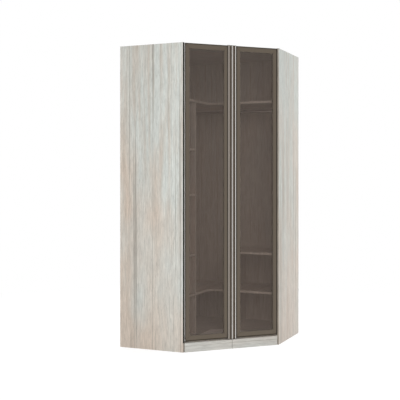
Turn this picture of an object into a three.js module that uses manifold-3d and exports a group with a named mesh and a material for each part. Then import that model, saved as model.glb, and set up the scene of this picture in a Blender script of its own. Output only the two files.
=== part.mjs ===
// Corner wardrobe with a diagonal front: two tall framed glass doors between two side panels.
// Units are millimetres and +Z is up. The origin is on the floor, under the middle of the box round
// the wardrobe. The room's corner is at the back (+Y) and the doors face -Y.
import * as THREE from 'three';
import { mergeVertices } from 'three/addons/utils/BufferGeometryUtils.js';
import Module from 'manifold-3d';

const wasm = await Module();
wasm.setup();

// Overall sizes
const wallLength = 1119;
const sideDepth = 545;
const overallHeight = 2360;

// Boards, backs and the gap that keeps neighbours apart
const board = 18;
const backThickness = 6;
const seatGap = 0.3;

// Plinth
const plinthHeight = 70;
const plinthJointGap = 0.8;
const plinthSideGap = 0.7;

// Doors as a whole
const leafThickness = 20.5;
const leafSideGap = 1.3;
const leafCentreGap = 3;
const leafTopReveal = 4;
const leafBottomReveal = 14;
const leafBackGap = 1.5;

// Door frame profiles
const outerStileWidth = 36;
const meetingStileWidth = 31.8;
const railWidth = 40;
const edgeSlopeWidth = 8;
const edgeSlopeDepth = 2.5;
const profileWall = 2.5;
const grooveDepth = 8;
const mitreGap = 0.2;

// Glass and its seal
const glassRecess = 9;
const glassThickness = 4;
const glassBite = 7;
const sealWidth = 5;
const sealThickness = 2;

// Full-height handle on each meeting edge. Both are as wide, but the left one has the broader rib.
const handleWidth = 33.2;
const leftRibWidth = 15.2;
const rightRibWidth = 7.2;
const handleLipWidth = 5;
const handleChannelDepth = 9;
const handleWall = 2;
const handleEdgeRound = 1;
const handleOverTop = 2;
const handleUnderBottom = 8;
const handleCapThickness = 1.7;

// Concealed hinges
const hingeHeightShares = [0.048, 0.337, 0.588, 0.952];
const cupWidth = 18;
const cupHeight = 40;
const cupDepth = 11;
const cupFromEdge = 5;
const cupFlangeWidth = 24;
const cupFlangeThickness = 1.5;
const armThickness = 16;
const armHeight = 15;
const armLength = 78;
const armRunningGap = 0.8;
const plateThickness = 5;
const plateLength = 48;
const plateHeight = 44;

// Shelves, dividers and bays
const shelfDepth = 505;
const shelfInnerRadius = 60;
const nicheWidth = 300;
const rightBayWidth = 458;
const topSpaceHeight = 392;
const lowerSpaceHeight = 303;
// Heights of the niche shelves, as shares of the space between the two full shelves
const nicheLowShare = 0.1957;
const nicheMiddleShare = 0.5089;
const nicheHighShare = 0.7452;

// Corner post
const postWidth = 45;

// Hanging rail
const railRadius = 12.5;
const railTubeWall = 1.5;
const railDepth = 280;
const railDrop = 47;
const railCornerClearance = 70;
const railSocketRadius = 17;
const railSocketLength = 12;
const railFlangeRadius = 26;
const railFlangeThickness = 3;
const bracketFromEnd = 150;
const bracketSpacing = 430;
const bracketThickness = 14;
const bracketRingWall = 3.5;
const bracketStemWidth = 12;
const bracketPlateWidth = 52;
const bracketPlateThickness = 3;

// How finely round shapes are cut
const roundSides = 24;
const filletSteps = 8;

// One overrun lets every cutting tool pass through its face
const cutOverrun = 1;

// Places worked out from the sizes above
const footprintDepth = (wallLength + sideDepth) * Math.SQRT1_2;
const cornerY = footprintDepth / 2;
const frontY = -footprintDepth / 2;
const sideInner = wallLength - board;
const openingHalfWidth = (wallLength - sideDepth - board) * Math.SQRT1_2;
const leafOuter = openingHalfWidth - leafSideGap;
const leafBottom = plinthHeight + leafBottomReveal;
const leafTop = overallHeight - leafTopReveal;
const leafInner = leafCentreGap / 2;
const meetingOuter = leafInner + handleWidth + seatGap;
const carcassFrontY = frontY + leafThickness + leafBackGap;
const boardBack = backThickness + seatGap;
const boardEnd = sideInner - seatGap;
const baseTop = plinthHeight + board;
const topBottom = overallHeight - board;
const upperShelfBottom = topBottom - topSpaceHeight - board;
const lowerShelfBottom = baseTop + lowerSpaceHeight;
const lowerShelfTop = lowerShelfBottom + board;
const middleShelfBottom = nicheShelfBottom(nicheLowShare);
const postEnd = boardBack + postWidth;
const nicheDivider = sideInner - nicheWidth;
const rightDivider = sideInner - rightBayWidth;
const lipBack = glassRecess - seatGap;
const glassBack = glassRecess + glassThickness;
const grooveBack = glassBack + seatGap + sealThickness + seatGap;

const wardrobe = new THREE.Group();

// Finishes

function washedOak() {
  return new THREE.MeshStandardMaterial({ color: 0xcbc4ba, roughness: 0.62, metalness: 0 });
}

function bronzeAluminium() {
  return new THREE.MeshStandardMaterial({ color: 0x665c52, roughness: 0.42, metalness: 0.6 });
}

function brightAluminium() {
  return new THREE.MeshStandardMaterial({ color: 0xb6ada6, roughness: 0.32, metalness: 0.8 });
}

function smokedGlass() {
  return new THREE.MeshStandardMaterial({ color: 0x574e49, roughness: 0.08, metalness: 0 });
}

function zincSteel() {
  return new THREE.MeshStandardMaterial({ color: 0xa9abad, roughness: 0.35, metalness: 0.9 });
}

function darkPlastic() {
  return new THREE.MeshStandardMaterial({ color: 0x3b3733, roughness: 0.5, metalness: 0 });
}

// Helpers for shapes

// A place on the floor plan from its distances to the left wall and to the right wall.
function plan(fromLeftWall, fromRightWall) {
  const x = (fromLeftWall - fromRightWall) * Math.SQRT1_2;
  const y = cornerY - (fromLeftWall + fromRightWall) * Math.SQRT1_2;
  return new THREE.Vector2(x, y);
}

// The left wing stands against the left wall, so its depth is the distance from that wall.
function leftWing(depth, along) {
  return plan(depth, along);
}

function rightWing(depth, along) {
  return plan(along, depth);
}

// How far from one wall a place lies when it is on a line across the front and this far from the other.
function depthOnLine(lineY, along) {
  return (cornerY - lineY) * Math.SQRT2 - along;
}

function upright(points, bottom, top) {
  const shape = new THREE.Shape(points);
  const geometry = new THREE.ExtrudeGeometry(shape, { depth: top - bottom, bevelEnabled: false });
  geometry.translate(0, 0, bottom);
  return geometry;
}

function wingRectangle(wing, depthStart, depthEnd, alongStart, alongEnd) {
  return [
    wing(depthStart, alongStart),
    wing(depthEnd, alongStart),
    wing(depthEnd, alongEnd),
    wing(depthStart, alongEnd),
  ];
}

function rectangle(left, right, low, high) {
  return [
    new THREE.Vector2(left, low),
    new THREE.Vector2(right, low),
    new THREE.Vector2(right, high),
    new THREE.Vector2(left, high),
  ];
}

function circle(radius) {
  const points = [];
  for (let i = 0; i < roundSides; i += 1) {
    const turn = (i / roundSides) * 2 * Math.PI;
    points.push(new THREE.Vector2(radius * Math.cos(turn), radius * Math.sin(turn)));
  }
  return points;
}

// Extrudes an outline, slopes its two ends for mitres, and lays it along the given axes.
// A mirrored set of axes turns the faces inside out, so they are turned back.
function profileBar(outline, hole, length, startSlope, endSlope, axes, origin) {
  const shape = new THREE.Shape(outline);
  if (hole) shape.holes = [new THREE.Path(hole)];
  const extruded = new THREE.ExtrudeGeometry(shape, { depth: length, bevelEnabled: false });
  const position = extruded.attributes.position;
  for (let i = 0; i < position.count; i += 1) {
    const across = position.getX(i);
    const atEnd = position.getZ(i) > length / 2;
    position.setZ(i, atEnd ? length - across * endSlope : across * startSlope);
  }
  const placement = new THREE.Matrix4().makeBasis(...axes).setPosition(origin);
  const geometry = bare(extruded).applyMatrix4(placement);
  if (placement.determinant() < 0) geometry.setIndex(reversed(Array.from(geometry.index.array)));
  geometry.computeVertexNormals();
  return geometry;
}

function bare(geometry) {
  const copy = geometry.clone();
  copy.deleteAttribute('normal');
  copy.deleteAttribute('uv');
  return mergeVertices(copy);
}

function reversed(index) {
  for (let i = 0; i < index.length; i += 3) {
    [index[i + 1], index[i + 2]] = [index[i + 2], index[i + 1]];
  }
  return index;
}

// The same solid as seen in a mirror at x = 0.
function mirrored(geometry) {
  const copy = bare(geometry).scale(-1, 1, 1);
  copy.setIndex(reversed(Array.from(copy.index.array)));
  copy.computeVertexNormals();
  return copy;
}

function toSolid(geometry) {
  const merged = bare(geometry);
  return new wasm.Manifold(new wasm.Mesh({
    numProp: 3,
    vertProperties: new Float32Array(merged.attributes.position.array),
    triVerts: new Uint32Array(merged.index.array),
  }));
}

function toGeometry(solid) {
  const mesh = solid.getMesh();
  const geometry = new THREE.BufferGeometry();
  geometry.setAttribute('position', new THREE.BufferAttribute(new Float32Array(mesh.vertProperties), 3));
  geometry.setIndex(Array.from(mesh.triVerts));
  geometry.computeVertexNormals();
  return geometry;
}

function boxBetween(x0, x1, y0, y1, z0, z1) {
  const geometry = new THREE.BoxGeometry(x1 - x0, y1 - y0, z1 - z0);
  geometry.translate((x0 + x1) / 2, (y0 + y1) / 2, (z0 + z1) / 2);
  return geometry;
}

function add(name, geometry, finish) {
  const mesh = new THREE.Mesh(geometry, finish);
  mesh.name = name;
  wardrobe.add(mesh);
}

// Carcass

function addSidePanel(name, wing) {
  const outline = wingRectangle(wing, 0, sideDepth, sideInner, wallLength);
  add(name, upright(outline, 0, overallHeight), washedOak());
}

function addBackPanel(name, wing, alongStart) {
  const outline = wingRectangle(wing, 0, backThickness, alongStart, boardEnd);
  add(name, upright(outline, 0, overallHeight), washedOak());
}

function addCornerPost() {
  const outline = wingRectangle(leftWing, boardBack, postEnd, boardBack, postEnd);
  add('corner_post', upright(outline, baseTop + seatGap, topBottom - seatGap), washedOak());
}

// The top and base panels are five-sided: two back edges, two short side edges and the diagonal front.
function pentagon() {
  const frontDepth = depthOnLine(carcassFrontY, boardEnd);
  return [
    plan(boardBack, boardBack),
    plan(boardBack, boardEnd),
    plan(frontDepth, boardEnd),
    plan(boardEnd, frontDepth),
    plan(boardEnd, boardBack),
  ];
}

function addTopAndBase() {
  add('top_panel', upright(pentagon(), topBottom, overallHeight), washedOak());
  add('base_panel', upright(pentagon(), plinthHeight, baseTop), washedOak());
}

function addPlinth() {
  const end = openingHalfWidth - plinthSideGap;
  const middle = plinthJointGap / 2;
  const boardBackY = frontY + board;
  add('plinth_left', boxBetween(-end, -middle, frontY, boardBackY, 0, plinthHeight), washedOak());
  add('plinth_right', boxBetween(middle, end, frontY, boardBackY, 0, plinthHeight), washedOak());
  const railFront = boardBackY + seatGap;
  const railTop = plinthHeight - seatGap;
  add('plinth_rail', boxBetween(-end, end, railFront, railFront + board, 0, railTop), washedOak());
}

// Runners on the floor carry the base panel along both backs.
function addBaseRunners() {
  const top = plinthHeight - seatGap;
  const inner = boardBack + board;
  const left = wingRectangle(leftWing, boardBack, inner, boardBack, boardEnd);
  const right = wingRectangle(rightWing, boardBack, inner, inner + seatGap, boardEnd);
  add('left_base_runner', upright(left, 0, top), washedOak());
  add('right_base_runner', upright(right, 0, top), washedOak());
}

// Shelves and dividers

// A full shelf runs along both walls. Its front edge turns the inner corner in a curve, and its back
// corner is notched for the post.
function fullShelfOutline() {
  const notch = postEnd + seatGap;
  const centre = shelfDepth + shelfInnerRadius;
  const points = [
    plan(boardBack, notch),
    plan(notch, notch),
    plan(notch, boardBack),
    plan(boardEnd, boardBack),
    plan(boardEnd, shelfDepth),
  ];
  for (let i = 0; i <= filletSteps; i += 1) {
    const turn = -Math.PI / 2 - (i / filletSteps) * (Math.PI / 2);
    const fromLeft = centre + shelfInnerRadius * Math.cos(turn);
    const fromRight = centre + shelfInnerRadius * Math.sin(turn);
    points.push(plan(fromLeft, fromRight));
  }
  points.push(plan(shelfDepth, boardEnd));
  points.push(plan(boardBack, boardEnd));
  return points;
}

function addFullShelf(name, bottom) {
  add(name, upright(fullShelfOutline(), bottom, bottom + board), washedOak());
}

function addDivider(name, wing, face, bottom, top) {
  const outline = wingRectangle(wing, boardBack, shelfDepth, face - board, face);
  add(name, upright(outline, bottom + seatGap, top - seatGap), washedOak());
}

function addDividers() {
  addDivider('left_divider_lower', leftWing, nicheDivider, baseTop, lowerShelfBottom);
  addDivider('left_divider_upper', leftWing, nicheDivider, lowerShelfTop, upperShelfBottom);
  addDivider('right_divider_lower', rightWing, rightDivider, baseTop, lowerShelfBottom);
  addDivider('right_divider_upper', rightWing, rightDivider, lowerShelfTop, middleShelfBottom);
}

function nicheShelfBottom(share) {
  return lowerShelfTop + share * (upperShelfBottom - lowerShelfTop);
}

function addNicheShelf(name, bottom) {
  const outline = wingRectangle(leftWing, boardBack, shelfDepth, nicheDivider + seatGap, boardEnd);
  add(name, upright(outline, bottom, bottom + board), washedOak());
}

// The middle shelf lies on its divider at one end and is fixed to the side panel at the other.
function addMiddleShelf() {
  const outline = wingRectangle(rightWing, boardBack, shelfDepth, rightDivider - board, boardEnd);
  add('middle_shelf', upright(outline, middleShelfBottom, middleShelfBottom + board), washedOak());
}

// Hanging rail

// Axes for things on the rail: up, towards the room's corner side, and along the right wall.
function railAxes() {
  const up = new THREE.Vector3(0, 0, 1);
  const along = new THREE.Vector3(Math.SQRT1_2, -Math.SQRT1_2, 0);
  const across = new THREE.Vector3().crossVectors(along, up);
  return [up, across, along];
}

function railPoint(along) {
  const place = rightWing(railDepth, along);
  return new THREE.Vector3(place.x, place.y, upperShelfBottom - railDrop);
}

function railStart() {
  return postEnd + railCornerClearance;
}

function addHangingRail() {
  const start = railStart();
  const end = boardEnd - railFlangeThickness - seatGap;
  const outer = circle(railRadius);
  const inner = circle(railRadius - railTubeWall);
  const tube = profileBar(outer, inner, end - start, 0, 0, railAxes(), railPoint(start));
  add('hanging_rail', tube, zincSteel());
}

// The socket on the side panel: a round flange with a collar that takes the rail's end.
function addRailFlange() {
  const bore = railRadius + seatGap;
  const collarEnd = railFlangeThickness + railSocketLength;
  const profile = [
    new THREE.Vector2(0, 0),
    new THREE.Vector2(railFlangeRadius, 0),
    new THREE.Vector2(railFlangeRadius, railFlangeThickness),
    new THREE.Vector2(railSocketRadius, railFlangeThickness),
    new THREE.Vector2(railSocketRadius, collarEnd),
    new THREE.Vector2(bore, collarEnd),
    new THREE.Vector2(bore, railFlangeThickness),
    new THREE.Vector2(0, railFlangeThickness),
  ];
  const [up, , along] = railAxes();
  const inwards = along.clone().negate();
  const placement = new THREE.Matrix4().makeBasis(up, inwards, new THREE.Vector3().crossVectors(up, inwards));
  placement.setPosition(railPoint(boardEnd));
  const flange = new THREE.LatheGeometry(profile, roundSides).applyMatrix4(placement);
  add('rail_flange', flange, zincSteel());
}

// A bracket hangs the rail from the shelf above: a plate, a stem and a ring, all one moulding.
function dropBracket(along) {
  const ring = railRadius + seatGap + bracketRingWall;
  const halfStem = bracketStemWidth / 2;
  const halfPlate = bracketPlateWidth / 2;
  const plateTop = railDrop - seatGap;
  const plateBottom = plateTop - bracketPlateThickness;
  const meet = Math.asin(halfStem / ring);
  const outline = [
    new THREE.Vector2(plateBottom, halfStem),
    new THREE.Vector2(plateBottom, halfPlate),
    new THREE.Vector2(plateTop, halfPlate),
    new THREE.Vector2(plateTop, -halfPlate),
    new THREE.Vector2(plateBottom, -halfPlate),
    new THREE.Vector2(plateBottom, -halfStem),
  ];
  for (let i = 0; i <= roundSides; i += 1) {
    const turn = -meet - (i / roundSides) * (2 * Math.PI - 2 * meet);
    outline.push(new THREE.Vector2(ring * Math.cos(turn), ring * Math.sin(turn)));
  }
  const bore = circle(railRadius + seatGap);
  return profileBar(outline, bore, bracketThickness, 0, 0, railAxes(), railPoint(along));
}

function addDropBrackets() {
  const first = railStart() + bracketFromEnd;
  add('rail_bracket_corner', dropBracket(first), zincSteel());
  add('rail_bracket_middle', dropBracket(first + bracketSpacing), zincSteel());
}

// Doors

// The frame profile seen from its end: a sloped outer edge, a flat face, and a groove for the glass.
function frameOutline(width) {
  const grooveBottom = width - grooveDepth;
  return [
    new THREE.Vector2(0, edgeSlopeDepth),
    new THREE.Vector2(edgeSlopeWidth, 0),
    new THREE.Vector2(width, 0),
    new THREE.Vector2(width, lipBack),
    new THREE.Vector2(grooveBottom, lipBack),
    new THREE.Vector2(grooveBottom, grooveBack),
    new THREE.Vector2(width, grooveBack),
    new THREE.Vector2(width, leafThickness),
    new THREE.Vector2(0, leafThickness),
  ];
}

function chamberOf(width) {
  return {
    start: profileWall,
    end: width - grooveDepth - profileWall,
    front: edgeSlopeDepth + profileWall,
    back: leafThickness - profileWall,
  };
}

function frameChamber(width) {
  const { start, end, front, back } = chamberOf(width);
  return rectangle(start, end, front, back);
}

// All door pieces are made for the right-hand door, and the left-hand one is their mirror image.
function addDoorPiece(side, name, geometry, finish) {
  const placed = side === 'left' ? mirrored(geometry) : geometry;
  add(`${side}_${name}`, placed, finish);
}

const inward = new THREE.Vector3(-1, 0, 0);
const outward = new THREE.Vector3(1, 0, 0);
const backward = new THREE.Vector3(0, 1, 0);
const upward = new THREE.Vector3(0, 0, 1);
const downward = new THREE.Vector3(0, 0, -1);

function stileBar(width, across, edgeX) {
  const slope = railWidth / width;
  const length = leafTop - leafBottom - 2 * mitreGap;
  const origin = new THREE.Vector3(edgeX, frontY, leafBottom + mitreGap);
  const axes = [across, backward, upward];
  return profileBar(frameOutline(width), frameChamber(width), length, slope, slope, axes, origin);
}

function railBar(edgeZ, across) {
  const length = leafOuter - meetingOuter - 2 * mitreGap;
  const origin = new THREE.Vector3(meetingOuter + mitreGap, frontY, edgeZ);
  const axes = [across, backward, outward];
  const meetingSlope = meetingStileWidth / railWidth;
  const outerSlope = outerStileWidth / railWidth;
  return profileBar(frameOutline(railWidth), frameChamber(railWidth), length, meetingSlope, outerSlope,
    axes, origin);
}

// The hinges keep clear of the shelves, so they are not evenly spaced.
function hingeHeights() {
  return hingeHeightShares.map((share) => leafBottom + share * (leafTop - leafBottom));
}

// The outer stile has a slot through its back wall for each hinge cup.
function outerStile() {
  let solid = toSolid(stileBar(outerStileWidth, inward, leafOuter));
  const slotEnd = leafOuter - cupFromEdge + seatGap;
  const slotStart = leafOuter - cupFromEdge - cupWidth - seatGap;
  const slotFront = frontY + leafThickness - profileWall - cutOverrun;
  const slotBack = frontY + leafThickness + cutOverrun;
  const half = cupHeight / 2 + seatGap;
  for (const height of hingeHeights()) {
    const slot = boxBetween(slotStart, slotEnd, slotFront, slotBack, height - half, height + half);
    solid = solid.subtract(toSolid(slot));
  }
  return toGeometry(solid);
}

// A cup body that sits in the stile, with a thin flange on the stile's back.
function hingeCup(height) {
  const flangeStart = cupFromEdge - (cupFlangeWidth - cupWidth) / 2;
  const flangeEnd = flangeStart + cupFlangeWidth;
  const flangeFront = leafThickness + seatGap;
  const flangeBack = flangeFront + cupFlangeThickness;
  const bodyFront = leafThickness - cupDepth;
  const outline = [
    new THREE.Vector2(cupFromEdge, bodyFront),
    new THREE.Vector2(cupFromEdge + cupWidth, bodyFront),
    new THREE.Vector2(cupFromEdge + cupWidth, flangeFront),
    new THREE.Vector2(flangeEnd, flangeFront),
    new THREE.Vector2(flangeEnd, flangeBack),
    new THREE.Vector2(flangeStart, flangeBack),
    new THREE.Vector2(flangeStart, flangeFront),
    new THREE.Vector2(cupFromEdge, flangeFront),
  ];
  const origin = new THREE.Vector3(leafOuter, frontY, height - cupHeight / 2);
  return profileBar(outline, null, cupHeight, 0, 0, [inward, backward, upward], origin);
}

function paneEdges(bite) {
  return {
    inner: meetingOuter + meetingStileWidth - bite,
    outer: leafOuter - outerStileWidth + bite,
    low: leafBottom + railWidth - bite,
    high: leafTop - railWidth + bite,
  };
}

function glassPane() {
  const { inner, outer, low, high } = paneEdges(glassBite);
  return boxBetween(inner, outer, frontY + glassRecess, frontY + glassBack, low, high);
}

// The seal is a soft frame that wedges the glass from behind.
function glassSeal() {
  const edge = paneEdges(glassBite);
  const outline = rectangle(edge.inner, edge.outer, edge.low, edge.high);
  const hole = rectangle(edge.inner + sealWidth, edge.outer - sealWidth,
    edge.low + sealWidth, edge.high - sealWidth);
  const origin = new THREE.Vector3(0, frontY + glassBack + seatGap, 0);
  return profileBar(outline, hole, sealThickness, 0, 0, [outward, upward, backward], origin);
}

// The handle seen from its end, from the stile towards the door's free edge: a hollow rib,
// a channel for the fingertips and a lip
function handleOutline(ribWidth) {
  const lipStart = handleWidth - handleLipWidth;
  const round = handleEdgeRound;
  const webBack = handleChannelDepth + handleWall;
  return [
    new THREE.Vector2(0, round),
    new THREE.Vector2(round, 0),
    new THREE.Vector2(ribWidth - round, 0),
    new THREE.Vector2(ribWidth, round),
    new THREE.Vector2(ribWidth, handleChannelDepth),
    new THREE.Vector2(lipStart, handleChannelDepth),
    new THREE.Vector2(lipStart, round),
    new THREE.Vector2(lipStart + round, 0),
    new THREE.Vector2(handleWidth - round, 0),
    new THREE.Vector2(handleWidth, round),
    new THREE.Vector2(handleWidth, webBack),
    new THREE.Vector2(ribWidth, webBack),
    new THREE.Vector2(ribWidth, leafThickness),
    new THREE.Vector2(0, leafThickness),
  ];
}

function handleBar(ribWidth, hole, bottom, top) {
  const outline = handleOutline(ribWidth);
  const origin = new THREE.Vector3(leafInner + handleWidth, frontY, bottom);
  return profileBar(outline, hole, top - bottom, 0, 0, [inward, backward, upward], origin);
}

function addHandle(side) {
  const ribWidth = side === 'left' ? leftRibWidth : rightRibWidth;
  const bottom = leafBottom - handleUnderBottom;
  const top = leafTop + handleOverTop;
  const chamber = rectangle(handleWall, ribWidth - handleWall, handleWall, leafThickness - handleWall);
  addDoorPiece(side, 'handle_profile', handleBar(ribWidth, chamber, bottom, top), brightAluminium());
  const lowCap = handleBar(ribWidth, null, bottom - seatGap - handleCapThickness, bottom - seatGap);
  const highCap = handleBar(ribWidth, null, top + seatGap, top + seatGap + handleCapThickness);
  addDoorPiece(side, 'handle_bottom_cap', lowCap, darkPlastic());
  addDoorPiece(side, 'handle_top_cap', highCap, darkPlastic());
}

function addDoor(side) {
  addDoorPiece(side, 'outer_stile', outerStile(), bronzeAluminium());
  const meetingStile = stileBar(meetingStileWidth, outward, meetingOuter);
  addDoorPiece(side, 'meeting_stile', meetingStile, bronzeAluminium());
  addDoorPiece(side, 'top_rail', railBar(leafTop, downward), bronzeAluminium());
  addDoorPiece(side, 'bottom_rail', railBar(leafBottom, upward), bronzeAluminium());
  addDoorPiece(side, 'glass_pane', glassPane(), smokedGlass());
  addDoorPiece(side, 'glass_seal', glassSeal(), darkPlastic());
  addHandle(side);
}

// Hinge arms on the side panels

// A screwed plate and an arm, one piece. The arm's front end is cut parallel to the door, just behind
// the cup's flange.
function hingeArm(wing, height) {
  const plateFace = boardEnd - plateThickness;
  const far = plateFace - armThickness;
  const near = plateFace + cutOverrun;
  const lineY = frontY + leafThickness + seatGap + cupFlangeThickness + armRunningGap;
  const farFront = depthOnLine(lineY, far);
  const nearFront = depthOnLine(lineY, near);
  const back = nearFront - armLength;
  const armOutline = [wing(back, near), wing(back, far), wing(farFront, far), wing(nearFront, near)];
  const arm = upright(armOutline, height - armHeight / 2, height + armHeight / 2);
  const plateFront = back + plateLength;
  const plateOutline = wingRectangle(wing, back, plateFront, plateFace, boardEnd);
  const plate = upright(plateOutline, height - plateHeight / 2, height + plateHeight / 2);
  return toGeometry(toSolid(arm).add(toSolid(plate)));
}

function addHinges(side, wing) {
  hingeHeights().forEach((height, i) => {
    add(`${side}_hinge_arm_${i + 1}`, hingeArm(wing, height), zincSteel());
    addDoorPiece(side, `hinge_cup_${i + 1}`, hingeCup(height), zincSteel());
  });
}

// Assembly

addSidePanel('left_side_panel', leftWing);
addSidePanel('right_side_panel', rightWing);
addBackPanel('left_back_panel', leftWing, 0);
addBackPanel('right_back_panel', rightWing, boardBack);
addCornerPost();
addTopAndBase();
addPlinth();
addBaseRunners();
addFullShelf('upper_shelf', upperShelfBottom);
addFullShelf('lower_shelf', lowerShelfBottom);
addDividers();
addNicheShelf('niche_shelf_low', nicheShelfBottom(nicheLowShare));
addNicheShelf('niche_shelf_middle', nicheShelfBottom(nicheMiddleShare));
addNicheShelf('niche_shelf_high', nicheShelfBottom(nicheHighShare));
addMiddleShelf();
addHangingRail();
addRailFlange();
addDropBrackets();
addDoor('left');
addDoor('right');
addHinges('left', leftWing);
addHinges('right', rightWing);

export default wardrobe;
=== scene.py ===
"""Corner wardrobe with a diagonal front of two framed smoked-glass doors.

Everything is in metres in the CAD model's own frame: +Z is up, the room's corner is at the back (+Y)
and the doors face -Y. The CAD solids keep their sizes. This script gives them their finishes, eases
their edges and adds the small parts that they leave out.
"""
import math

import bmesh
import bpy
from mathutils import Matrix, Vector


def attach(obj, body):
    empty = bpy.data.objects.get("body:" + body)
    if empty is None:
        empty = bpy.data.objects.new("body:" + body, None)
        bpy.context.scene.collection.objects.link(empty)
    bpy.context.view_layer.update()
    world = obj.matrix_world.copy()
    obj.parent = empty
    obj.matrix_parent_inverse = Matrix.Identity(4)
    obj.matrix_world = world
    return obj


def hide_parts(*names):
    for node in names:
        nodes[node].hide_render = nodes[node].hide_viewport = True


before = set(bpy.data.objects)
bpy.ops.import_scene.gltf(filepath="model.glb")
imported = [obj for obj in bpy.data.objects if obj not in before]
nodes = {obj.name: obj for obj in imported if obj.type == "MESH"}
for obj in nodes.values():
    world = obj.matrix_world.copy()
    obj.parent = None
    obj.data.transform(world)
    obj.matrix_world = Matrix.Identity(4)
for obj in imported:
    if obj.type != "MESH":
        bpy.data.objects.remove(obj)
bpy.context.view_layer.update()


# The studio: a level camera a little left of the doors' middle, a white floor and an even white sky.
# Large soft lamps stand to the left, to the right and behind, with weaker ones above and in front.
# The floor and sky are white to the eye, and the floor keeps a soft shadow.

def linear(code):
    """An sRGB hex colour as linear RGBA."""
    channels = [int(code[i:i + 2], 16) / 255 for i in (0, 2, 4)]
    return [c / 12.92 if c <= 0.04045 else ((c + 0.055) / 1.055) ** 2.4 for c in channels] + [1.0]


def new_material(name):
    material = bpy.data.materials.new(name)
    material.use_nodes = True
    material.node_tree.nodes.clear()
    return material


def add_node(owner, kind, values=None, feeds=None, **settings):
    """Adds one node: settings are its own properties, values fill its sockets, feeds link outputs in."""
    tree = owner.node_tree
    made = tree.nodes.new(kind)
    for name, value in settings.items():
        setattr(made, name, value)
    for socket, value in (values or {}).items():
        made.inputs[socket].default_value = value
    for socket, source in (feeds or {}).items():
        tree.links.new(source, made.inputs[socket])
    return made


scene = bpy.context.scene
scene.view_settings.view_transform = "Standard"

CAMERA_PLACE = (-2.579, -6.4257, 1.327)
CAMERA_YAW_DEGREES = 21.59
CAMERA_LENS_MM = 73.8
CAMERA_SENSOR_MM = 36
CAMERA_RISE = -0.055
CAMERA_REACH = 60
eye = bpy.data.cameras.new("eye")
eye.lens = CAMERA_LENS_MM
eye.sensor_width = CAMERA_SENSOR_MM
eye.shift_y = CAMERA_RISE
eye.clip_end = CAMERA_REACH
camera = bpy.data.objects.new("camera", eye)
camera.location = CAMERA_PLACE
camera.rotation_euler = (math.radians(90), 0, math.radians(-CAMERA_YAW_DEGREES))
scene.collection.objects.link(camera)
scene.camera = camera


def seen_directly(owner):
    """1 for the camera's own rays and those that metal and glass send on, and 0 for the others."""
    rays = add_node(owner, "ShaderNodeLightPath")
    seen = rays.outputs["Is Camera Ray"]
    for ray in ("Is Glossy Ray", "Is Transmission Ray"):
        either = add_node(owner, "ShaderNodeMath", feeds={0: seen, 1: rays.outputs[ray]}, operation="MAXIMUM")
        seen = either.outputs[0]
    return seen


WHITE = linear("FFFFFF")
SKY_FOR_SURFACES = 0.3
sky = bpy.data.worlds.new("studio_sky")
sky.use_nodes = True
sky.node_tree.nodes.clear()
level = add_node(sky, "ShaderNodeMapRange", {"To Min": SKY_FOR_SURFACES, "To Max": 1.0},
                 {"Value": seen_directly(sky)})
white_sky = add_node(sky, "ShaderNodeBackground", {"Color": WHITE}, {"Strength": level.outputs[0]})
add_node(sky, "ShaderNodeOutputWorld", feeds={"Surface": white_sky.outputs[0]})
scene.world = sky

# Each lamp's place, what it points at, its width and height, and its watts
LAMPS = {
    "left_lamp": ((-5.5, -3.6, 1.5), (-0.2, -0.3, 1.15), 2.2, 2.4, 219),
    "right_lamp": ((6.0, -1.9, 1.7), (0.4, -0.3, 1.15), 1.6, 2.2, 238),
    "top_lamp": ((0.0, 0.2, 5.6), (0.0, 0.0, 2.36), 3.0, 3.0, 42),
    "back_lamp": ((0.0, 6.3, 2.4), (0.0, 0.3, 1.2), 3.4, 2.2, 285),
    "front_fill": ((-1.2, -5.5, 2.8), (0.0, -0.3, 1.1), 3.0, 2.4, 61),
}
for name, (place, aim, width, height, watts) in LAMPS.items():
    light = bpy.data.lights.new(name, "AREA")
    light.shape = "RECTANGLE"
    light.size = width
    light.size_y = height
    light.energy = watts
    lamp = bpy.data.objects.new(name, light)
    lamp.location = place
    lamp.rotation_euler = (Vector(aim) - Vector(place)).to_track_quat("-Z", "Y").to_euler()
    # Panes and metals mirror the white surroundings, and not the lamps themselves
    lamp.visible_glossy = False
    scene.collection.objects.link(lamp)

# Near the wardrobe the floor is lit paint with a glow under it, and further out it is plain white
FLOOR_REACH = 30
FLOOR_GLOW = 0.8
FLOOR_FADE_FROM = 1.6
FLOOR_FADE_TO = 3.2
studio_floor = new_material("white_studio_floor")
place = add_node(studio_floor, "ShaderNodeTexCoord")
reach = add_node(studio_floor, "ShaderNodeVectorMath", feeds={0: place.outputs["Object"]}, operation="LENGTH")
fade = add_node(studio_floor, "ShaderNodeMapRange", {"From Min": FLOOR_FADE_FROM, "From Max": FLOOR_FADE_TO},
                {"Value": reach.outputs["Value"]})
lit = add_node(studio_floor, "ShaderNodeBsdfDiffuse", {"Color": linear("999999")})
glow = add_node(studio_floor, "ShaderNodeEmission", {"Color": WHITE, "Strength": FLOOR_GLOW})
near = add_node(studio_floor, "ShaderNodeAddShader", feeds={0: lit.outputs[0], 1: glow.outputs[0]})
plain = add_node(studio_floor, "ShaderNodeEmission", {"Color": WHITE, "Strength": 1.0})
white_floor = add_node(studio_floor, "ShaderNodeMixShader",
                       feeds={"Fac": fade.outputs[0], 1: near.outputs[0], 2: plain.outputs[0]})
shown = add_node(studio_floor, "ShaderNodeMixShader",
                 feeds={"Fac": seen_directly(studio_floor), 1: lit.outputs[0], 2: white_floor.outputs[0]})
add_node(studio_floor, "ShaderNodeOutputMaterial", feeds={"Surface": shown.outputs[0]})

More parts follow.
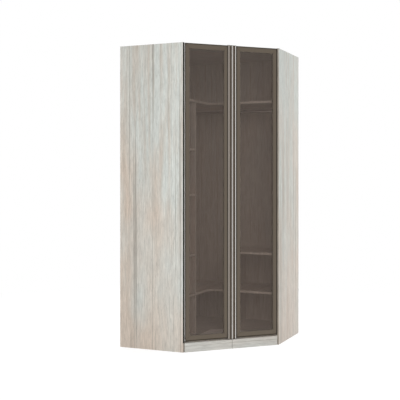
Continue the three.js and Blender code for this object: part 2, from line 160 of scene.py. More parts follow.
floor_mesh = bpy.data.meshes.new("floor")
corners = [(x * FLOOR_REACH, y * FLOOR_REACH, 0) for x, y in ((-1, -1), (1, -1), (1, 1), (-1, 1))]
floor_mesh.from_pydata(corners, [], [(0, 1, 2, 3)])
floor_mesh.materials.append(studio_floor)
floor = bpy.data.objects.new("floor", floor_mesh)
scene.collection.objects.link(floor)


# The boards: 18 mm chipboard faced with a printed, pressed melamine paper in washed oak. Their edges
# are banded with ABS and eased by 0.6 mm. The grain runs up the side panels and dividers, and along
# the shelves, and dowels and cams hold them together.

def washed_oak(name, along, turn=0.0, shift=(0, 0, 0), cool="C8CBC6", warm="CCBFB2", tan="B5A392",
               line="8A837A", inward=(-0.06, 0.15), painted_light=(1.08, 0.965)):
    """A washed oak print on paper, edge band or hardboard: dull satin, with shallow pores pressed in.

    along is the axis that the grain follows once the board is turned by turn. The inks are a cool and a
    warm ground, tan streaks and grey lines. inward adds to the warmth, and painted_light is painted light
    that changes the lightness, each given for the doors' side and for further in.
    """
    wood = new_material(name)
    place = add_node(wood, "ShaderNodeTexCoord")
    turned = add_node(wood, "ShaderNodeMapping", {"Location": shift, "Rotation": (0, 0, turn)},
                      {"Vector": place.outputs["Object"]})
    spot = add_node(wood, "ShaderNodeSeparateXYZ", feeds={"Vector": place.outputs["Object"]})

    def grain(share, **values):
        """A pattern that is 1 / share times as long along the grain as across it."""
        squeeze = [1.0, 1.0, 1.0]
        squeeze["xyz".index(along)] = share
        drawn = add_node(wood, "ShaderNodeMapping", {"Scale": squeeze}, {"Vector": turned.outputs[0]})
        return add_node(wood, "ShaderNodeTexNoise", values, {"Vector": drawn.outputs[0]}).outputs["Fac"]

    # Across the grain each pattern repeats every 1 m / Scale: clouds 220 mm, clusters 385 mm, streaks
    # 42 mm, swells 71 mm and growth rings 8 mm. Oak's dark lines are 0.5 mm wide and its pores 0.3 mm,
    # both too fine to show, so they are drawn about 4 and 2 mm wide.
    clouds = grain(0.3, Scale=4.5, Detail=2.0)
    clusters = grain(0.2, Scale=2.6, Detail=0.0)
    streaks = grain(0.05, Scale=24.0, Detail=4.0, Roughness=0.6)
    swells = grain(0.06, Scale=14.0, Detail=2.0)
    growth = grain(0.08, Scale=125.0, Detail=4.0, Roughness=0.7)
    dark_lines = grain(0.006, Scale=75.0, Detail=0.0)
    pores = grain(0.09, Scale=260.0, Detail=3.0, Roughness=0.6)

    # Each drift: what it follows, from which value to which, and what it gives at the first and at the
    # last. The print is warmer below than above.
    drifts = {
        "warmer_down": (spot.outputs["Z"], 0.1, 2.3, 0.26, -0.08),
        "warmer_in": (spot.outputs["Y"], -0.50, -0.26, *inward),
        "clustered": (clusters, 0.45, 0.62, 0.0, 0.5),
        "ringed": (growth, 0.3, 0.7, 0.80, 1.16),
        "swelled": (swells, 0.3, 0.7, 0.97, 1.02),
        # painted_light_fall is painted light: the lightness changes with the distance from the doors
        "painted_light_fall": (spot.outputs["Y"], -0.52, -0.34, *painted_light),
        "dull": (pores, 0.0, 1.0, 0.52, 0.66),
    }
    given = {}
    for drift, (source, low, high, first, last) in drifts.items():
        limits = {"From Min": low, "From Max": high, "To Min": first, "To Max": last}
        given[drift] = add_node(wood, "ShaderNodeMapRange", limits, {"Value": source}).outputs[0]
    warmth = clouds
    for drift in ("warmer_down", "warmer_in"):
        warmer = add_node(wood, "ShaderNodeMath", feeds={0: warmth, 1: given[drift]}, operation="ADD")
        warmth = warmer.outputs[0]
    tone = given["ringed"]
    for drift in ("swelled", "painted_light_fall"):
        toned = add_node(wood, "ShaderNodeMath", feeds={0: tone, 1: given[drift]}, operation="MULTIPLY")
        tone = toned.outputs[0]

    # The inks go over the cool ground in turn: where each starts, where it is full, and how strong it is
    inks = (
        (warm, {"Value": warmth}, 0.45, 0.8, 1.0),
        (tan, {"Value": streaks, "To Max": given["clustered"]}, 0.44, 0.66, 0.5),
        (line, {"Value": dark_lines}, 0.66, 0.76, 0.6),
        (line, {"Value": pores}, 0.55, 0.75, 0.5),
    )
    ground = {}
    for ink, pattern, start, full, strength in inks:
        limits = {"From Min": start, "From Max": full, "To Max": strength}
        share = add_node(wood, "ShaderNodeMapRange", limits, pattern)
        printed = add_node(wood, "ShaderNodeMix", {"A": linear(cool), "B": linear(ink)},
                           {"Factor": share.outputs[0], **ground}, data_type="RGBA")
        ground = {"A": printed.outputs["Result"]}
    shaded = add_node(wood, "ShaderNodeVectorMath", feeds={0: printed.outputs["Result"], "Scale": tone},
                      operation="SCALE")
    relief = add_node(wood, "ShaderNodeBump", {"Strength": 0.15, "Distance": 0.0004}, {"Height": pores})
    face = add_node(wood, "ShaderNodeBsdfPrincipled", {"Specular IOR Level": 0.35},
                    {"Base Color": shaded.outputs[0], "Roughness": given["dull"],
                     "Normal": relief.outputs[0]})
    add_node(wood, "ShaderNodeOutputMaterial", feeds={"Surface": face.outputs[0]})
    return wood


def moulded(name, colour, roughness, shine=0.5):
    """Moulded plastic or rubber, or another small dull part, with a soft, even sheen.

    The mould's texture is 0.1 mm across in truth, and drawn 0.7 mm across so that it dulls the surface.
    """
    plastic = new_material(name)
    place = add_node(plastic, "ShaderNodeTexCoord")
    speck = add_node(plastic, "ShaderNodeTexNoise", {"Scale": 1400.0, "Detail": 2.0},
                     {"Vector": place.outputs["Object"]})
    relief = add_node(plastic, "ShaderNodeBump", {"Strength": 0.12, "Distance": 0.0002},
                      {"Height": speck.outputs["Fac"]})
    dull = add_node(plastic, "ShaderNodeMapRange", {"To Min": roughness - 0.08, "To Max": roughness + 0.08},
                    {"Value": speck.outputs["Fac"]})
    face = add_node(plastic, "ShaderNodeBsdfPrincipled",
                    {"Base Color": linear(colour), "Specular IOR Level": shine},
                    {"Roughness": dull.outputs[0], "Normal": relief.outputs[0]})
    add_node(plastic, "ShaderNodeOutputMaterial", feeds={"Surface": face.outputs[0]})
    return plastic


def finish(names, material):
    """Gives CAD nodes that keep their shape their material."""
    for name in names:
        slots = nodes[name].data.materials
        slots.clear()
        slots.append(material)


def width_of(face):
    """The width of a long face."""
    return face.calc_area() / max(e.calc_length() for e in face.edges)


FLAT_FROM = 0.002
SMOOTH_BELOW = math.radians(20)


def placed(name, shape, body, finishes, stands_for=()):
    """Makes a piece from a bmesh, gives it its finishes and ties it to its body.

    Only its narrow faces, the rounded ones, are shaded smooth, and only across blunt edges.
    """
    mesh = bpy.data.meshes.new(name)
    narrow = [width_of(face) < FLAT_FROM for face in shape.faces]
    shape.to_mesh(mesh)
    shape.free()
    for material in finishes:
        mesh.materials.append(material)
    mesh.shade_smooth()
    mesh.set_sharp_from_angle(angle=SMOOTH_BELOW)
    mesh.polygons.foreach_set("use_smooth", narrow)
    piece = bpy.data.objects.new(name, mesh)
    scene.collection.objects.link(piece)
    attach(piece, body)
    if stands_for:
        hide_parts(*stands_for)


NARROWEST_EDGE = 0.004
WIDEST_EDGE = 0.025


def on_narrow_edges(face):
    """The second finish goes on a board's narrow edges, the first on its faces and eased corners."""
    return 1 if NARROWEST_EDGE < width_of(face) < WIDEST_EDGE else 0


def cut_through(shape, place, direction):
    """Splits the faces that a plane crosses, so that their two halves can differ."""
    everything = shape.verts[:] + shape.edges[:] + shape.faces[:]
    bmesh.ops.bisect_plane(shape, geom=everything, plane_co=place, plane_no=direction)


def ease(shape, edges, arris, steps=2):
    """Rounds edges off, each over the width of arris."""
    bmesh.ops.bevel(shape, geom=edges, offset=arris, segments=steps, profile=0.5, affect="EDGES",
                    clamp_overlap=True)


CORNER_Y = 0.588313
FRONT_Y = -CORNER_Y
WELD = 1e-6
FLAT = math.radians(1)
SHARP = math.radians(30)
SLOPE_WIDTH = 0.009
SLOPE_DEPTH = 0.0036
ON_THE_EDGE = 0.0005


def eased(name, body, finishes, arris, steps=2, choose=on_narrow_edges, cuts=(), slopes=()):
    """The node's own shape with its sharp edges eased by arris.

    choose gives each face its finish, and cuts are the planes that split faces for it. Each slope is the
    direction and the place of an outer edge, towards which the front slants back.
    """
    shape = bmesh.new()
    shape.from_mesh(nodes[name].data)
    bmesh.ops.remove_doubles(shape, verts=shape.verts, dist=WELD)
    bmesh.ops.dissolve_limit(shape, angle_limit=FLAT, verts=shape.verts, edges=shape.edges)
    for away, edge in slopes:
        cut_through(shape, away * (edge - SLOPE_WIDTH), away)
        for v in shape.verts:
            if v.co.y < FRONT_Y + ON_THE_EDGE and v.co.dot(away) > edge - ON_THE_EDGE:
                v.co.y += SLOPE_DEPTH
    ease(shape, [e for e in shape.edges if e.is_manifold and e.calc_face_angle() > SHARP], arris, steps)
    for place, direction in cuts:
        cut_through(shape, place, direction)
    if len(finishes) > 1:
        for face in shape.faces:
            face.material_index = choose(face)
    placed(f"{name}_eased", shape, body, finishes, [name])


ROOT_HALF = math.sqrt(0.5)


def along_walls(side, depth, reach, z):
    """A place by its distance from the side's own wall, its reach along that wall, and its height."""
    a, b = (depth, reach) if side == "left" else (reach, depth)
    return Vector(((a - b) * ROOT_HALF, CORNER_Y - (a + b) * ROOT_HALF, z))


def from_wall(side):
    """The direction away from the side's own wall, into the wardrobe."""
    return Vector((ROOT_HALF if side == "left" else -ROOT_HALF, -ROOT_HALF, 0))


SIDES = ("left", "right")
BOARD_ARRIS = 0.0006
EIGHTH_TURN = math.radians(45)
PANEL_SHIFT = (0.05, -0.05, 0)
upright_oak = washed_oak("washed_oak_upright", "z", shift=PANEL_SHIFT)
# The right panel's copy has its own inks and its own painted light
right_upright_oak = washed_oak("washed_oak_upright_right", "z", shift=PANEL_SHIFT, warm="D1C7BD",
                               tan="BAAA9B", inward=(-0.10, 0.03), painted_light=(0.985, 1.01))
left_shelf_oak = washed_oak("washed_oak_left_wing", "x", EIGHTH_TURN)
right_shelf_oak = washed_oak("washed_oak_right_wing", "x", -EIGHTH_TURN)
plinth_oak = washed_oak("washed_oak_plinth", "x", cool="CFD2CD", warm="D6D0C8", tan="CFC7BC", line="B9B3AA")
finish([f"{side}_base_runner" for side in SIDES], left_shelf_oak)
finish(["plinth_rail"], plinth_oak)
finish(["corner_post"], upright_oak)

# The side panels' front ends carry an ABS edge band, glued on and trimmed flush, whose darker grey is
# partly painted shade for the gaps beside the doors. The left one's last 2.4 mm before the front are
# painted shade, a dull black from the plinth upwards, beside the door.
PANEL_DEPTH = 0.545
SHADED_END_WIDTH = 0.0024
SHADED_END_START = PANEL_DEPTH - SHADED_END_WIDTH
SHADED_END_FOOT = 0.0718
grey_band_and_painted_shade = washed_oak("grey_abs_edge_band_and_painted_shade", "z", cool="A29B92", warm="A59A8E", tan="9A8D7E", line="8A8178")
painted_shade_lipping = moulded("black_lipping_painted_shade", "1A1816", 0.6, 0.15)


def on_left_end(face):
    """The third finish, black painted shade, goes on the left panel's front end, the others as on any board.
    """
    centre = face.calc_center_median()
    depth = (centre.x - centre.y + CORNER_Y) * ROOT_HALF
    return 2 if depth > SHADED_END_START and centre.z > SHADED_END_FOOT else on_narrow_edges(face)


eased("left_side_panel", "carcass", [upright_oak, grey_band_and_painted_shade, painted_shade_lipping], BOARD_ARRIS,
      choose=on_left_end, cuts=[(along_walls("left", SHADED_END_START, 0, 0), from_wall("left")),
                                ((0, 0, SHADED_END_FOOT), (0, 0, 1))])
eased("right_side_panel", "carcass", [right_upright_oak, grey_band_and_painted_shade], BOARD_ARRIS)

# The boards inside carry a paler band, partly painted light for the light that falls on their edges
# behind the glass. The top and base panels keep the grey band with its painted shade.
pale_band_painted_light = washed_oak("pale_abs_edge_band_painted_light", "z", cool="EAE6DE", warm="EEE6DA", tan="E0D4C4", line="CFC8BE")
DIVIDERS = ("left_divider_lower", "left_divider_upper", "right_divider_lower", "right_divider_upper")
NICHE_SHELVES = ("niche_shelf_low", "niche_shelf_middle", "niche_shelf_high")
BAY_SHELVES = ("middle_shelf", "upper_shelf", "lower_shelf")
for boards, oak, band in ((DIVIDERS, upright_oak, pale_band_painted_light), (NICHE_SHELVES, left_shelf_oak, pale_band_painted_light),
                          (BAY_SHELVES, right_shelf_oak, pale_band_painted_light),
                          (("top_panel", "base_panel"), plinth_oak, grey_band_and_painted_shade)):
    for name in boards:
        eased(name, "carcass", [oak, band], BOARD_ARRIS)

# The plinth boards' inner ends, and their fronts within 1.6 mm of the middle, are a dull grey: painted
# shade, a line in the middle of the front.
JOINT_SHADE = 0.0016
joint_painted_shade = moulded("grey_joint_painted_shade", "7F7B75", 0.6)


def on_joint_end(face):
    """The second finish, the painted shade, goes on the boards' ends where they meet and the front beside
    them.
    """
    return 1 if abs(face.calc_center_median().x) < JOINT_SHADE else 0


for name, x in (("plinth_left", -JOINT_SHADE), ("plinth_right", JOINT_SHADE)):
    eased(name, "carcass", [plinth_oak, joint_painted_shade], BOARD_ARRIS, choose=on_joint_end,
          cuts=[((x, 0, 0), (1, 0, 0))])


# The backs: 6 mm hardboard with a plain, dull printed face in the boards' tone. They are nailed on from
# behind in three columns, a nail every 185 mm. The nails' zinc-plated heads are a dull grey.

hardboard = washed_oak("printed_hardboard", "z", cool="CFCFC9", warm="D2CAC0", tan="CBC2B6", line="BBB3A9")
finish([f"{side}_back_panel" for side in SIDES], hardboard)


def turned_part(shape, centre, axis, rings, sides=16):
    """Adds a turned form. Each ring is its radius, its place on the axis and the depth of its four lobes."""
    across = axis.orthogonal().normalized()
    over = axis.cross(across)
    loops = []
    for radius, along, lobe in rings:
        loop = []
        for i in range(sides):
            angle = i * math.tau / sides
            r = radius * (1 + lobe * math.cos(4 * angle))
            spot = centre + axis * along + across * r * math.cos(angle) + over * r * math.sin(angle)
            loop.append(shape.verts.new(spot))
        loops.append(loop)
    for low, high in zip(loops, loops[1:]):
        for i in range(sides):
            j = (i + 1) % sides
            shape.faces.new((low[i], low[j], high[j], high[i]))
    shape.faces.new(list(reversed(loops[0])))
    shape.faces.new(loops[-1])


NAIL_RINGS = ((0.0026, -0.0004, 0), (0.0030, 0.0002, 0), (0.0022, 0.0006, 0))
NAIL_REACHES = (0.016, 0.55, 1.090)
NAIL_ROWS = 13
NAIL_SPACING = 0.185
LOWEST_NAIL = 0.07
zinc_nail = moulded("zinc_plated_nail_heads", "9C9B97", 0.4)
for side in SIDES:
    shape = bmesh.new()
    for reach in NAIL_REACHES:
        for row in range(NAIL_ROWS):
            centre = along_walls(side, 0.0, reach, LOWEST_NAIL + row * NAIL_SPACING)
            turned_part(shape, centre, -from_wall(side), NAIL_RINGS, sides=10)
    placed(f"{side}_back_nails", shape, "carcass", [zinc_nail])


# The door frames: extruded aluminium profiles, brushed lightly, anodised bronze and mitred. They gleam
# softly and darkly. The fronts that slant back to the door's outer edges carry a painted shade, darker
# still, and the slant up the right door's outer stile is painted black, a deeper painted shade.

def brushed_metal(name, colour, roughness, along, painted_slope_shade=1.0, metallic=1.0):
    """Anodised, plated or lacquered metal with hairlines along one axis, which streak its sheen.

    The hairlines are 0.1 mm wide in truth, and drawn 1 mm wide so that they show. painted_slope_shade is
    a painted shade: how light the faces that turn away from the front are painted, against the front.
    """
    metal = new_material(name)
    place = add_node(metal, "ShaderNodeTexCoord")
    squeeze = [1.0, 1.0, 1.0]
    squeeze["xyz".index(along)] = 0.01
    lines = add_node(metal, "ShaderNodeMapping", {"Scale": squeeze}, {"Vector": place.outputs["Object"]})
    hair = add_node(metal, "ShaderNodeTexNoise", {"Scale": 900.0, "Detail": 2.0},
                    {"Vector": lines.outputs[0]})
    dull = add_node(metal, "ShaderNodeMapRange", {"To Min": roughness - 0.06, "To Max": roughness + 0.06},
                    {"Value": hair.outputs["Fac"]})
    tone = add_node(metal, "ShaderNodeMapRange", {"To Min": 0.95, "To Max": 1.05},
                    {"Value": hair.outputs["Fac"]})
    # Faces that turn away from the front are painted darker, a painted shade
    facing = add_node(metal, "ShaderNodeSeparateXYZ", feeds={"Vector": place.outputs["Normal"]})
    flatness = add_node(metal, "ShaderNodeMath", feeds={0: facing.outputs["Y"]}, operation="ABSOLUTE")
    shade = add_node(metal, "ShaderNodeMapRange",
                     {"From Min": 0.95, "From Max": 0.99, "To Min": painted_slope_shade, "To Max": 1.0},
                     {"Value": flatness.outputs[0]})
    level = add_node(metal, "ShaderNodeMath", feeds={0: tone.outputs[0], 1: shade.outputs[0]},
                     operation="MULTIPLY")
    tint = add_node(metal, "ShaderNodeVectorMath", {0: linear(colour)[:3]}, {"Scale": level.outputs[0]},
                    operation="SCALE")
    relief = add_node(metal, "ShaderNodeBump", {"Strength": 0.02, "Distance": 0.0001},
                      {"Height": hair.outputs["Fac"]})
    face = add_node(metal, "ShaderNodeBsdfPrincipled", {"Metallic": metallic},
                    {"Base Color": tint.outputs[0], "Roughness": dull.outputs[0],
                     "Normal": relief.outputs[0]})
    add_node(metal, "ShaderNodeOutputMaterial", feeds={"Surface": face.outputs[0]})
    return metal


def mirrored(side, x):
    """The right door's x, turned over for the left one."""
    return -x if side == "left" else x


FACING_FRONT, FACING_ASIDE = -0.97, -0.5


def on_slope(face):
    """The second finish, a painted shade, goes on the slope, which faces neither quite to the front nor
    aside.
    """
    return 1 if FACING_FRONT < face.normal.y < FACING_ASIDE else 0


FRAME_ARRIS = 0.0004
DOOR_EDGE = 0.39185
DOOR_TOP = (Vector((0, 0, 1)), 2.3560)
DOOR_BOTTOM = (Vector((0, 0, -1)), -0.0840)
bronze_upright = brushed_metal("bronze_anodised_aluminium_upright", "6A6156", 0.36, "z", painted_slope_shade=0.36)
bronze_level = brushed_metal("bronze_anodised_aluminium_level", "6A6156", 0.36, "x", painted_slope_shade=0.36)
slope_painted_shade = brushed_metal("black_slope_painted_shade", "2A2622", 0.4, "z")
for side in SIDES:
    outer_edge = (Vector((mirrored(side, 1), 0, 0)), DOOR_EDGE)
    outer_metals = [bronze_upright] if side == "left" else [bronze_upright, slope_painted_shade]
    profiles = {
        "outer_stile": (outer_metals, [outer_edge]),
        "meeting_stile": ([bronze_upright], [DOOR_TOP, DOOR_BOTTOM]),
        "top_rail": ([bronze_level], [DOOR_TOP]),
        "bottom_rail": ([bronze_level], [DOOR_BOTTOM]),
    }
    for part, (metals, slopes) in profiles.items():
        eased(f"{side}_{part}", f"{side}_door", metals, FRAME_ARRIS, choose=on_slope,
              slopes=slopes)


# The panes: 4 mm smoked float glass with a thin bronze mirror coat, held in the frame's groove. The
# sheet lets six tenths of the light through, less at a slant, and mirrors a little of the room, so that
# the shelves show behind it only faintly.

smoked_glass = new_material("smoked_reflective_glass")
through = add_node(smoked_glass, "ShaderNodeBsdfTransparent", {"Color": linear("ECE8E6")})
mirror = add_node(smoked_glass, "ShaderNodeBsdfAnisotropic", {"Color": linear("E7D6CB"), "Roughness": 0.03})
# The mirrored share grows with the fifth power towards grazing sight, on both faces of the sheet alike
facing = add_node(smoked_glass, "ShaderNodeLayerWeight", {"Blend": 0.5})
grazing = add_node(smoked_glass, "ShaderNodeMath", {1: 5.0}, {0: facing.outputs["Facing"]}, operation="POWER")
share = add_node(smoked_glass, "ShaderNodeMapRange", {"To Min": 0.055, "To Max": 0.9},
                 {"Value": grazing.outputs[0]})
# The coat also keeps out the light of lamps that stand more than about 40 degrees to the side
rays = add_node(smoked_glass, "ShaderNodeLightPath")
slant = add_node(smoked_glass, "ShaderNodeMapRange", {"From Min": 0.19, "From Max": 0.27},
                 {"Value": facing.outputs["Facing"]})
kept_out = add_node(smoked_glass, "ShaderNodeMath",
                    feeds={0: slant.outputs[0], 1: rays.outputs["Is Shadow Ray"]}, operation="MULTIPLY")
stopped = add_node(smoked_glass, "ShaderNodeMath", feeds={0: share.outputs[0], 1: kept_out.outputs[0]},
                   operation="MAXIMUM")
sheet = add_node(smoked_glass, "ShaderNodeMixShader",
                 feeds={"Fac": stopped.outputs[0], 1: through.outputs[0], 2: mirror.outputs[0]})
add_node(smoked_glass, "ShaderNodeOutputMaterial", feeds={"Surface": sheet.outputs[0]})
finish([f"{side}_glass_pane" for side in SIDES], smoked_glass)


# The doors' seals and caps: behind each pane a seal of dull brown rubber, in front of it a bead of the
# same that closes the gap to the frame, and on each end of the handles a cap of moulded ABS, dark grey
# with a slight sheen.

def bar_between(shape, low, high, arris):
    """Adds a straight bar with eased edges between two opposite corners."""
    part = bmesh.new()
    bmesh.ops.create_cube(part, size=1)
    for v in part.verts:
        v.co = Vector([low[i] + (v.co[i] + 0.5) * (high[i] - low[i]) for i in range(3)])
    ease(part, part.edges[:], arris)
    bmesh.ops.recalc_face_normals(part, faces=part.faces)
    held = bpy.data.meshes.new("held")
    part.to_mesh(held)
    part.free()
    shape.from_mesh(held)
    bpy.data.meshes.remove(held)


def door_bar(shape, side, inner, outer, front, back, low, high, arris):
    """Adds a bar to a door, by its distances from the middle of the front and from the front plane."""
    xs = sorted((mirrored(side, inner), mirrored(side, outer)))
    bar_between(shape, (xs[0], FRONT_Y + front, low), (xs[1], FRONT_Y + back, high), arris)


CAP_ARRIS = 0.0003
BEAD = 0.003
BEAD_FRONT, BEAD_BACK = 0.0014, 0.0089
BEAD_ARRIS = 0.0008
PANE_INNER, PANE_OUTER, PANE_LOW, PANE_HIGH = 0.0668, 0.35585, 0.124, 2.316
BEADS = (
    (PANE_INNER, PANE_INNER + BEAD, PANE_LOW, PANE_HIGH),
    (PANE_OUTER - BEAD, PANE_OUTER, PANE_LOW, PANE_HIGH),
    (PANE_INNER, PANE_OUTER, PANE_LOW, PANE_LOW + BEAD),
    (PANE_INNER, PANE_OUTER, PANE_HIGH - BEAD, PANE_HIGH),
)
brown_rubber = moulded("brown_seal_rubber", "71685F", 0.6)
dark_abs = moulded("dark_grey_abs", "4A433E", 0.5)
for side in SIDES:
    finish([f"{side}_glass_seal"], brown_rubber)
    for part in ("handle_top_cap", "handle_bottom_cap"):
        eased(f"{side}_{part}", f"{side}_door", [dark_abs], CAP_ARRIS)
    shape = bmesh.new()
    for inner, outer, low, high in BEADS:
        door_bar(shape, side, inner, outer, BEAD_FRONT, BEAD_BACK, low, high, BEAD_ARRIS)
    placed(f"{side}_glazing_bead", shape, f"{side}_door", [brown_rubber])


# The handles: extruded aluminium as long as the doors, pressed onto the meeting stiles, each with a
# finger channel between a narrow lip and a rib. They are anodised a satin grey, with a painted shade on
# the faces that turn from the front. The right one's lip and rib fronts carry a white painted
# highlight, and the rib's outer edge a dark bronze painted shade.

HANDLE_ARRIS = 0.0003
LIP_END, RIB_START, RIDGE_END = 0.0072, 0.0268, 0.0318
satin = brushed_metal("satin_anodised_aluminium", "938B83", 0.3, "z", painted_slope_shade=0.8, metallic=0.6)
painted_ridge_highlight = brushed_metal("ridge_painted_highlight", "EFECE8", 0.3, "z")
bronze_floor = brushed_metal("bronze_anodised_channel", "655B51", 0.36, "z")
painted_rib_shade = brushed_metal("dark_bronze_painted_shade", "3A332D", 0.4, "z")
white_lacquer_and_highlight = brushed_metal("white_aluminium_and_painted_highlight", "FAF8F4", 0.35, "z", metallic=0.0)


def on_ridges(face):
    """Second finish, a painted highlight: the lip and rib fronts. Third, a painted shade: fronts past
    RIDGE_END.
    """
    x = face.calc_center_median().x
    if face.normal.y > FACING_ASIDE or LIP_END < x < RIB_START:
        return 0
    return 1 if x < RIDGE_END else 2


eased("left_handle_profile", "left_door", [satin], HANDLE_ARRIS)
eased("right_handle_profile", "right_door", [satin, painted_ridge_highlight, painted_rib_shade], HANDLE_ARRIS,
      choose=on_ridges, cuts=[((RIDGE_END, 0, 0), (1, 0, 0))])

# A bronze strip is the channel's floor, and a thin white lacquered one covers each door's outer side and
# shows as a light line, partly a painted highlight for the light that falls on that side. The left
# door's stands up to the front plane, the right one's stays behind the slope.
CHANNEL_INNER, CHANNEL_OUTER = 0.0067, {"left": 0.0193, "right": 0.0273}
CHANNEL_FRONT, CHANNEL_BACK, CHANNEL_FOOT, CHANNEL_HEAD = 0.00872, 0.00898, 0.0764, 2.3576
CHANNEL_ARRIS = 0.0001
TRIM_INNER, TRIM_OUTER, TRIM_FRONT = 0.39187, 0.3926, {"left": 0.0006, "right": 0.0043}
TRIM_BACK, TRIM_FOOT, TRIM_HEAD, TRIM_ARRIS = 0.0198, 0.0846, 2.3554, 0.00015
for side in SIDES:
    shape = bmesh.new()
    door_bar(shape, side, CHANNEL_INNER, CHANNEL_OUTER[side], CHANNEL_FRONT, CHANNEL_BACK, CHANNEL_FOOT,
             CHANNEL_HEAD, CHANNEL_ARRIS)
    placed(f"{side}_handle_channel_floor", shape, f"{side}_door", [bronze_floor])
    shape = bmesh.new()
    door_bar(shape, side, TRIM_INNER, TRIM_OUTER, TRIM_FRONT[side], TRIM_BACK, TRIM_FOOT, TRIM_HEAD,
             TRIM_ARRIS)
    placed(f"{side}_door_edge_trim_and_highlight", shape, f"{side}_door", [white_lacquer_and_highlight])


# A pale felt sheet, 3 mm thick, lies on the front of the base as painted light, for the light that falls
# on the base in front of the shelves. It is cut to a triangle along the doors, with its back corner
# rounded, and its raised fibres catch the light when seen from low down.

POOL_LINE, POOL_FRONT, POOL_ROUND, ROUND_STEPS = 0.556, 1.6317, 0.06, 12
POOL_FOOT, POOL_THICKNESS, POOL_ARRIS = 0.0881, 0.003, 0.0004
outline = [(POOL_LINE, POOL_FRONT - POOL_LINE), (POOL_FRONT - POOL_LINE, POOL_LINE)]
for i in range(ROUND_STEPS + 1):
    angle = -math.pi / 2 - i / ROUND_STEPS * math.pi / 2
    outline.append([POOL_LINE + POOL_ROUND * (1 + turn) for turn in (math.cos(angle), math.sin(angle))])
shape = bmesh.new()
underside = shape.faces.new([shape.verts.new(along_walls("left", a, b, POOL_FOOT)) for a, b in outline])
raised = bmesh.ops.extrude_face_region(shape, geom=[underside])
for v in raised["geom"]:
    if isinstance(v, bmesh.types.BMVert):
        v.co.z += POOL_THICKNESS
bmesh.ops.recalc_face_normals(shape, faces=shape.faces)
ease(shape, [e for e in shape.edges if e.calc_face_angle() > SHARP], POOL_ARRIS)

# The felt's fibres are 0.03 mm thick, and their tufts are drawn 4 mm wide so that they show
painted_light_felt = new_material("pale_felt_painted_light")
place = add_node(painted_light_felt, "ShaderNodeTexCoord")
tufts = add_node(painted_light_felt, "ShaderNodeTexNoise", {"Scale": 260.0, "Detail": 5.0, "Roughness": 0.7},
                 {"Vector": place.outputs["Object"]})
shade = add_node(painted_light_felt, "ShaderNodeMix", {"A": linear("FCFAF6"), "B": linear("F0EBE3")},
                 {"Factor": tufts.outputs["Fac"]}, data_type="RGBA")
relief = add_node(painted_light_felt, "ShaderNodeBump", {"Strength": 0.4, "Distance": 0.0006},
                  {"Height": tufts.outputs["Fac"]})
nap = add_node(painted_light_felt, "ShaderNodeBsdfPrincipled",
               {"Roughness": 0.95, "Specular IOR Level": 0.2, "Sheen Weight": 1.0, "Sheen Roughness": 0.4},
               {"Base Color": shade.outputs["Result"], "Normal": relief.outputs[0]})
add_node(painted_light_felt, "ShaderNodeOutputMaterial", feeds={"Surface": nap.outputs[0]})
placed("base_painted_light_pool", shape, "carcass", [painted_light_felt])


# Painted shade in the gaps beside the doors: strips glued along the side panels' front ends. The left
# one is a wide black pile, which swallows the light, and the right one a narrow, dull strip of grey PVC.

SEAL_THICKNESS, SEAL_FOOT, SEAL_HEAD, SEAL_ARRIS = 0.0008, 0.072, 2.3595, 0.0003
PANEL_END_X = 0.40592
painted_shade_pile = moulded("black_pile_painted_shade", "100F0E", 0.9, 0.05)
grey_pvc_and_painted_shade = moulded("grey_pvc_and_painted_shade", "8E8A84", 0.6)
# Each strip's start and end across the panel's end, from its outer face, and its material
STRIPS = (("left", 0.0010, 0.0172, painted_shade_pile), ("right", 0.0142, 0.0174, grey_pvc_and_painted_shade))
for side, start, end, strip in STRIPS:
    shape = bmesh.new()
    bar_between(shape, (start, -SEAL_THICKNESS, SEAL_FOOT), (end, 0.0, SEAL_HEAD), SEAL_ARRIS)
    for v in shape.verts:
        inward, out = v.co.x, -v.co.y
        v.co.x = mirrored(side, PANEL_END_X - (inward + out) * ROOT_HALF)
        v.co.y = FRONT_Y + inward * ROOT_HALF - out * ROOT_HALF
    bmesh.ops.recalc_face_normals(shape, faces=shape.faces)
    placed(f"{side}_painted_shade_strip", shape, "carcass", [strip])


# The plinth's joint: its two front boards meet in the middle, and a thin strip of the same black pile,
# glued to the end of one of them, fills the 0.8 mm between them as painted shade.

STRIP_HALF, STRIP_FRONT, STRIP_BACK, STRIP_FOOT, STRIP_HEAD = 0.00038, 0.0004, 0.0176, 0.0004, 0.0696
STRIP_ARRIS = 0.0001
shape = bmesh.new()
bar_between(shape, (-STRIP_HALF, FRONT_Y + STRIP_FRONT, STRIP_FOOT),
            (STRIP_HALF, FRONT_Y + STRIP_BACK, STRIP_HEAD), STRIP_ARRIS)
placed("plinth_joint_painted_shade", shape, "carcass", [painted_shade_pile])


# The hinges: pressed, zinc-plated steel with a cool grey gleam, four to a door. Each has an arm on a
# plate that is screwed to the side panel with cross-slot screws, and a cup that two small screws hold
# in the outer stile.

ARM_ARRIS, CUP_ARRIS = 0.0012, 0.0006
SCREW_RINGS = ((0.0034, 0.0, 0), (0.0036, 0.0006, 0), (0.0030, 0.0014, 0), (0.0017, 0.0016, 0.3),
               (0.0012, 0.0008, 0.3))
SMALL_SCREW_RINGS = ((0.0022, 0.0, 0), (0.0022, 0.0002, 0), (0.0018, 0.0005, 0), (0.0011, 0.00055, 0.3),
                     (0.0008, 0.0002, 0.3))
HINGE_HEIGHTS = (0.19306, 0.84966, 1.41994, 2.24694)
PLATE_SCREW_DEPTH, PLATE_SCREW_RISE, PLATE_FACE = 0.4800, 0.0148, 1.0957
ARM_SCREW_DEPTHS, ARM_FACE = (0.470, 0.502), 1.0797
CUP_SCREW_X, CUP_SCREW_BEHIND, CUP_SCREW_RISE = 0.37785, 0.0223, 0.0165
BACKWARDS = Vector((0, 1, 0))
plated = brushed_metal("zinc_plated_steel", "A9A9A6", 0.32, "z")


def from_panel(side):
    """The direction from the side panel's inner face into the wardrobe."""
    return Vector((ROOT_HALF if side == "left" else -ROOT_HALF, ROOT_HALF, 0))


